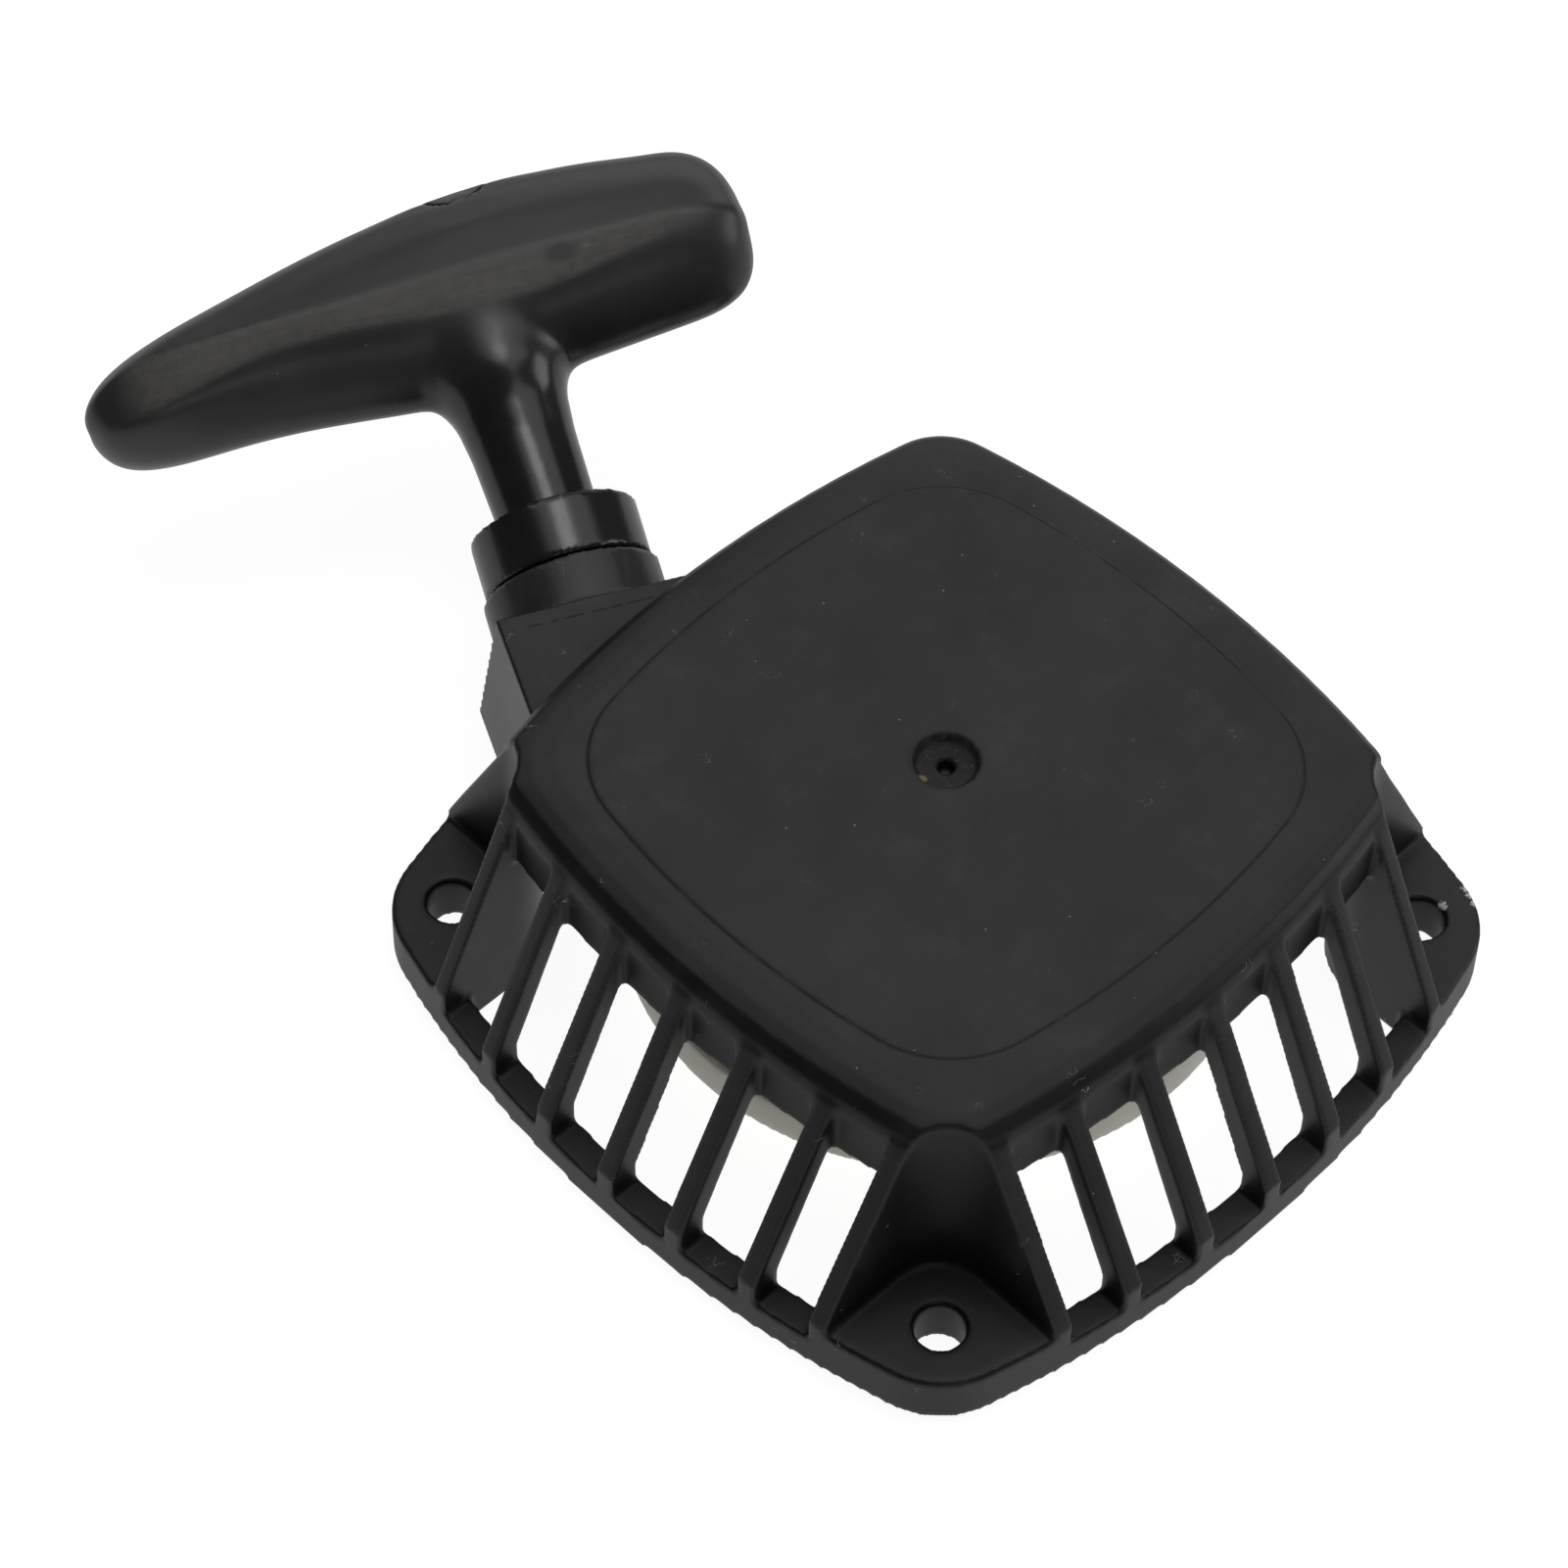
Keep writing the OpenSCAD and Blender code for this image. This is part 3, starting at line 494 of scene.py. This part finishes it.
def sweep(path, radius, around, relief, length=None):
    """Points and faces of a closed tube along a path, with relief(angles, length) on it."""
    path = np.asarray(path, float)
    tangent = np.gradient(path, axis=0)
    tangent /= np.linalg.norm(tangent, axis=1)[:, None]
    side = np.cross(tangent[0], (0, 0, 1.0))
    side /= np.linalg.norm(side)
    if length is None:
        length = np.concatenate(([0], np.cumsum(np.linalg.norm(np.diff(path, axis=0), axis=1))))
    angles = np.linspace(0, 2 * math.pi, around, endpoint=False)
    rings = []
    for point, way, run in zip(path, tangent, length):
        side = side - way * np.dot(side, way)
        side /= np.linalg.norm(side)
        other = np.cross(way, side)
        r = radius + relief(angles, run)
        rings.append(point + np.outer(np.cos(angles) * r, side) + np.outer(np.sin(angles) * r, other))
    points = np.concatenate(rings + [[path[0]], [path[-1]]])
    faces, last = [], len(path) - 1
    for k in range(last):
        for i in range(around):
            j = (i + 1) % around
            faces.append((k * around + i, k * around + j, (k + 1) * around + j,
                          (k + 1) * around + i))
    start, end = len(points) - 2, len(points) - 1
    for i in range(around):
        j = (i + 1) % around
        faces.append((start, j, i))
        faces.append((end, last * around + i, last * around + j))
    return points, faces


def braid(pitch, depth, strands=8):
    """Relief of a braided cord: two sets of strands that cross."""
    def relief(angle, run):
        a = np.cos(angle * strands / 2 + math.pi * run / pitch) ** 2
        b = np.cos(angle * strands / 2 - math.pi * run / pitch) ** 2
        return depth * (np.maximum(a, b) - 1)
    return relief


def resample(points, step):
    """A smooth path through points (Catmull-Rom), with even steps."""
    p = np.asarray([tuple(q) for q in points], float)
    p = np.vstack([2 * p[0] - p[1], p, 2 * p[-1] - p[-2]])
    fine = []
    for k in range(1, len(p) - 2):
        t = np.linspace(0, 1, 24, endpoint=False)[:, None]
        fine.append(0.5 * (2 * p[k] + (p[k + 1] - p[k - 1]) * t
                    + (2 * p[k - 1] - 5 * p[k] + 4 * p[k + 1] - p[k + 2]) * t ** 2
                    + (3 * p[k] - p[k - 1] - 3 * p[k + 1] + p[k + 2]) * t ** 3))
    fine = np.vstack(fine + [p[-2][None]])
    length = np.concatenate(([0], np.cumsum(np.linalg.norm(np.diff(fine, axis=0), axis=1))))
    even = np.linspace(0, length[-1], max(2, int(length[-1] / step)))
    return np.stack([np.interp(even, length, fine[:, i]) for i in range(3)], axis=1)


# ---------------------------------------------------------------- moulded plastics
housing = moulded("housing", VOXEL, 3, even_panel)
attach(housing, "housing")
# the material paints the panel step's thin shadow line by this distance
place = read(housing.data, "co")
panel_edge = housing.data.attributes.new("panel_edge", "FLOAT", "POINT")
panel_edge.data.foreach_set("value", panel_distance(place[:, 0], place[:, 1]))
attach(moulded("handle_grip", VOXEL, 2, soft_grip), "handle")
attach(moulded("reel", REEL_VOXEL, 3), "reel")

# ---------------------------------------------------------------- rope
ROPE_LOOK_R = ROPE_R - 0.02 * MM
CORD = braid(3.4 * MM, 0.22 * MM)
ROPE_AROUND, RUN_AROUND = 24, 16     # points round the rope, and round its long run


def rope_piece(name, path, body, radius=ROPE_LOOK_R, step=0.4 * MM):
    """A braided stretch of rope that stands for the CAD node of the same name."""
    points, faces = sweep(resample(path, step), radius, ROPE_AROUND, CORD)
    piece = new_piece(name, points, faces, LOOKS["rope"])
    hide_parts(name.replace("_braid", ""))
    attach(piece, body)


def windings_path():
    """The rope on the drum, from the point where it leaves it back to its inner end."""
    inner, middle = DRUM_R + ROPE_R + 0.02 * MM, DRUM_R + 3.12 * ROPE_R
    low, high = 17.4 * MM, 21.2 * MM
    # at each number of turns from the outer end: radius and height
    keys = ((0, ROPE_OFFSET, ROPE_Z), (0.70, ROPE_OFFSET, ROPE_Z), (0.86, middle, high),
            (1.74, middle, high), (1.90, middle, low), (2.76, middle, low), (2.94, inner, low),
            (3.78, inner, low), (3.94, inner, high), (4.84, inner, high))
    turns = np.linspace(0, keys[-1][0], 240)
    radius = np.interp(turns, [k[0] for k in keys], [k[1] for k in keys])
    height = np.interp(turns, [k[0] for k in keys], [k[2] for k in keys])
    angle = math.pi - ROPE_TURN + 0.01 + 2 * math.pi * turns
    return np.stack([radius * np.cos(angle), radius * np.sin(angle), height], axis=1)


def run_path():
    """The rope from the reel, round the bend in the eyelet and out to the handle's knot."""
    flat = [along_rope(-ROPE_OFFSET, y * MM, ROPE_Z) for y in (0.3, 8, 16, 24, 32)]
    bend = [along_rope(-ROPE_OFFSET, BEND_ALONG - 4 * MM, ROPE_Z),
            at_neck(0, -BEND_BACK + 4 * MM, 0)]
    neck = [at_neck(0, y * MM, 0) for y in (-3, 0, 4, 8, 16, 24, 32, 43.4)]
    return flat + bend + neck


rope_piece("rope_windings_braid", windings_path(), "reel")
# Between these two places along the rope, inside the neck and the grip, the rope that the reel
# pays out is stored: the rings lie close there at rest, and evenly once the rope is pulled.
PAY_FROM, PAY_TO = at_neck(0, -7 * MM, 0), at_neck(0, 40 * MM, 0)
PULLED_OUT = 0.8                     # how far the joint pulls the handle
PATH_STEP, RING_STEP = 0.005 * MM, 0.5 * MM


def pulled_length(path):
    """How far along the fully pulled rope each point of the path at rest will lie."""
    length = np.concatenate(([0], np.cumsum(np.linalg.norm(np.diff(path, axis=0), axis=1))))
    out = (path - np.array(PAY_FROM)) @ np.array(PULL)
    out = np.where(path @ np.array(PULL) < np.array(PAY_FROM) @ np.array(PULL), 0, out)
    return length + PULLED_OUT * soft_step(out, 0, (PAY_TO - PAY_FROM).length)


def run_rings():
    """The run's path at rest, with a ring for each step of the pulled rope, and how far each is."""
    fine = resample(run_path(), PATH_STEP)
    pulled = pulled_length(fine)
    even = np.linspace(0, pulled[-1], int(pulled[-1] / RING_STEP))
    return np.stack([np.interp(even, pulled, fine[:, i]) for i in range(3)], axis=1), even


rings, ring_at = run_rings()
run = new_piece("rope_run_braid", *sweep(rings, ROPE_LOOK_R, RUN_AROUND, CORD, ring_at), LOOKS["rope"])
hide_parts("rope_run")
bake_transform(run)


def knot_path(middle, along, across, size, steps=64, open_end=0.96):
    """A small overhand knot: a trefoil squeezed round one point, not quite closed."""
    up = along.cross(across)
    path = []
    for i in range(steps + 1):
        t = 2 * math.pi * i / steps * open_end
        x = (math.sin(t) + 2 * math.sin(2 * t)) / 3
        y = (math.cos(t) - 2 * math.cos(2 * t)) / 3
        z = -math.sin(3 * t) / 2
        path.append(middle + size * (across * x + up * y + along * z))
    return path


rope_piece("rope_handle_knot_braid",
           knot_path(at_neck(0, 46.9 * MM, 0), PULL, GRIP_ALONG, 2.7 * MM), "pull_rope",
           1.25 * MM, 0.25 * MM)
KNOT_WAY = Vector((math.cos(KNOT_TURN), math.sin(KNOT_TURN), 0))
rope_piece("rope_reel_knot_braid",
           knot_path(KNOT_WAY * KNOT_AT + Vector((0, 0, KNOT_Z)), KNOT_WAY, Vector((0, 0, 1)),
                     2.1 * MM)
           + [KNOT_WAY * (KNOT_AT + d * MM) + Vector((0, 0, KNOT_Z)) for d in (3.2, 5, 7.1)],
           "reel", 1.15 * MM, 0.25 * MM)

# ---------------------------------------------------------------- the CAD nodes that stay
# how wide each one's edges are broken, in millimetres
EDGE = {"pawl_1": 0.25, "pawl_2": 0.25, "guide_plate": 0.12, "screw_washer": 0.12,
        "centre_screw": 0.18, "cover_screws": 0.1, "spring_cover": 0.12, "spring_case": 0.25,
        "knot_washer": 0.12, "thrust_washer": 0.08, "handle_cap": 0.3, "reel_bush": 0.1,
        "spacer_sleeve": 0.1, "pawl_pins": 0.12, "rope_eyelet": 0.1, "thread_insert": 0.1}
SHARP = math.radians(35)
for name, node in NODES.items():
    node.data.materials.clear()
    node.data.materials.append(LOOKS[SLOTS[name]])
    node.data.polygons.foreach_set("use_smooth", [True] * len(node.data.polygons))
    if node.hide_render:
        continue
    weld = node.modifiers.new("weld", "WELD")
    weld.merge_threshold = WELD_WITHIN
    if name in EDGE:
        edge = node.modifiers.new("edge", "BEVEL")
        edge.width = EDGE[name] * MM
        edge.segments = 2
        edge.limit_method = "ANGLE"
        edge.angle_limit = SHARP
        even = node.modifiers.new("even", "WEIGHTED_NORMAL")
        even.keep_sharp = True

# ---------------------------------------------------------------- floor, light, camera
def softbox(name, place, target, width, height, brightness):
    """A rectangular soft light whose power follows its size, so its face keeps its brightness."""
    light = bpy.data.lights.new(name, "AREA")
    light.shape = "RECTANGLE"
    light.size, light.size_y = width, height
    light.energy = 4 * width * height * brightness
    lamp = bpy.data.objects.new(name, light)
    lamp.location = place
    lamp.rotation_euler = (Vector(target) - Vector(place)).to_track_quat("-Z", "Y").to_euler()
    bpy.context.scene.collection.objects.link(lamp)


FLOOR_GLOW, FLOOR_SEEN = 0.55, 0.93  # how bright the floor is to the part, and to the camera
ROOM_TONE = 0.05                     # the room round the part; to the camera it is white


def pale_floor():
    """White paper that glows, more to the camera than to the part. It is clear from below."""
    g = Graph("floor")
    tone = g.mix(g.ramp(g.noise(0.3, 2, 0.5), 0.3, 0.7), rgb(0.2), rgb(0.22))
    g.finish(Base_Color=tone, Roughness=0.9, Specular_IOR_Level=0.0,
             Emission_Color=rgb(1.0))
    below = g.add("ShaderNodeNewGeometry").outputs["Backfacing"]
    seen = g.add("ShaderNodeLightPath").outputs["Is Camera Ray"]
    g.put(g.shader.inputs["Emission Strength"], g.ramp(seen, 0, 1, FLOOR_GLOW, FLOOR_SEEN))
    clear = g.add("ShaderNodeBsdfTransparent").outputs[0]
    paper = g.add("ShaderNodeMixShader", ((0, below), (1, g.shader.outputs[0]), (2, clear)))
    g.put(g.tree.nodes["Material Output"].inputs["Surface"], paper.outputs[0])
    return g.material


FLOOR_R, FLOOR_SIDES, FLOOR_GAP = 0.5, 72, 0.4 * MM
corners = [math.radians(360 / FLOOR_SIDES * i) for i in range(FLOOR_SIDES)]
floor = new_piece("floor", [(FLOOR_R * math.cos(a), FLOOR_R * math.sin(a), 0) for a in corners],
                  [tuple(range(FLOOR_SIDES))], pale_floor(), False)
floor.location.z = CAD_BOX[0][2] - FLOOR_GAP

world = bpy.data.worlds.new("studio")
world.use_nodes = True
nodes, links = world.node_tree.nodes, world.node_tree.links
seen, room = nodes["Background"], nodes.new("ShaderNodeBackground")
either, rays = nodes.new("ShaderNodeMixShader"), nodes.new("ShaderNodeLightPath")
seen.inputs["Color"].default_value = rgb(1.0)
room.inputs["Color"].default_value = rgb(ROOM_TONE)
links.new(rays.outputs["Is Camera Ray"], either.inputs[0])
links.new(room.outputs[0], either.inputs[1])
links.new(seen.outputs[0], either.inputs[2])
links.new(either.outputs[0], nodes["World Output"].inputs[0])
bpy.context.scene.world = world

MIDDLE = (0.0, 0.02, 0.02)
softbox("canopy", (0.17, 0.08, 0.98), MIDDLE, 1.4, 0.9, 0.86)
softbox("key", (0.05, 0.05, 0.95), MIDDLE, 0.28, 0.28, 3.0)
softbox("back wall", (0.72, 0.62, 0.38), MIDDLE, 1.1, 0.5, 0.75)
softbox("front", (-0.5, -0.82, 0.5), MIDDLE, 0.34, 0.14, 2.4)
softbox("right", (0.62, -0.5, 0.32), MIDDLE, 0.5, 0.35, 1.9)

bpy.context.scene.view_settings.view_transform = "Standard"
bpy.context.scene.view_settings.look = "None"

camera_data = bpy.data.cameras.new("camera")
camera_data.lens, camera_data.sensor_width = 121.0, 36.0  # millimetres, from the photo's fit
camera_data.clip_start, camera_data.clip_end = 0.01, 20
camera = bpy.data.objects.new("camera", camera_data)
bpy.context.scene.collection.objects.link(camera)
# the camera's three directions and its place, from the same fit
RIGHT = Vector((0.71435, -0.69962, 0.01568))
UP = Vector((0.55230, 0.57741, 0.60129))
BACK = Vector((-0.42973, -0.42087, 0.79888))
CAMERA_AT = Vector((-0.296022, -0.261919, 0.557726))
camera.matrix_world = Matrix((
    (RIGHT.x, UP.x, BACK.x, CAMERA_AT.x),
    (RIGHT.y, UP.y, BACK.y, CAMERA_AT.y),
    (RIGHT.z, UP.z, BACK.z, CAMERA_AT.z),
    (0, 0, 0, 1)))
bpy.context.scene.camera = camera
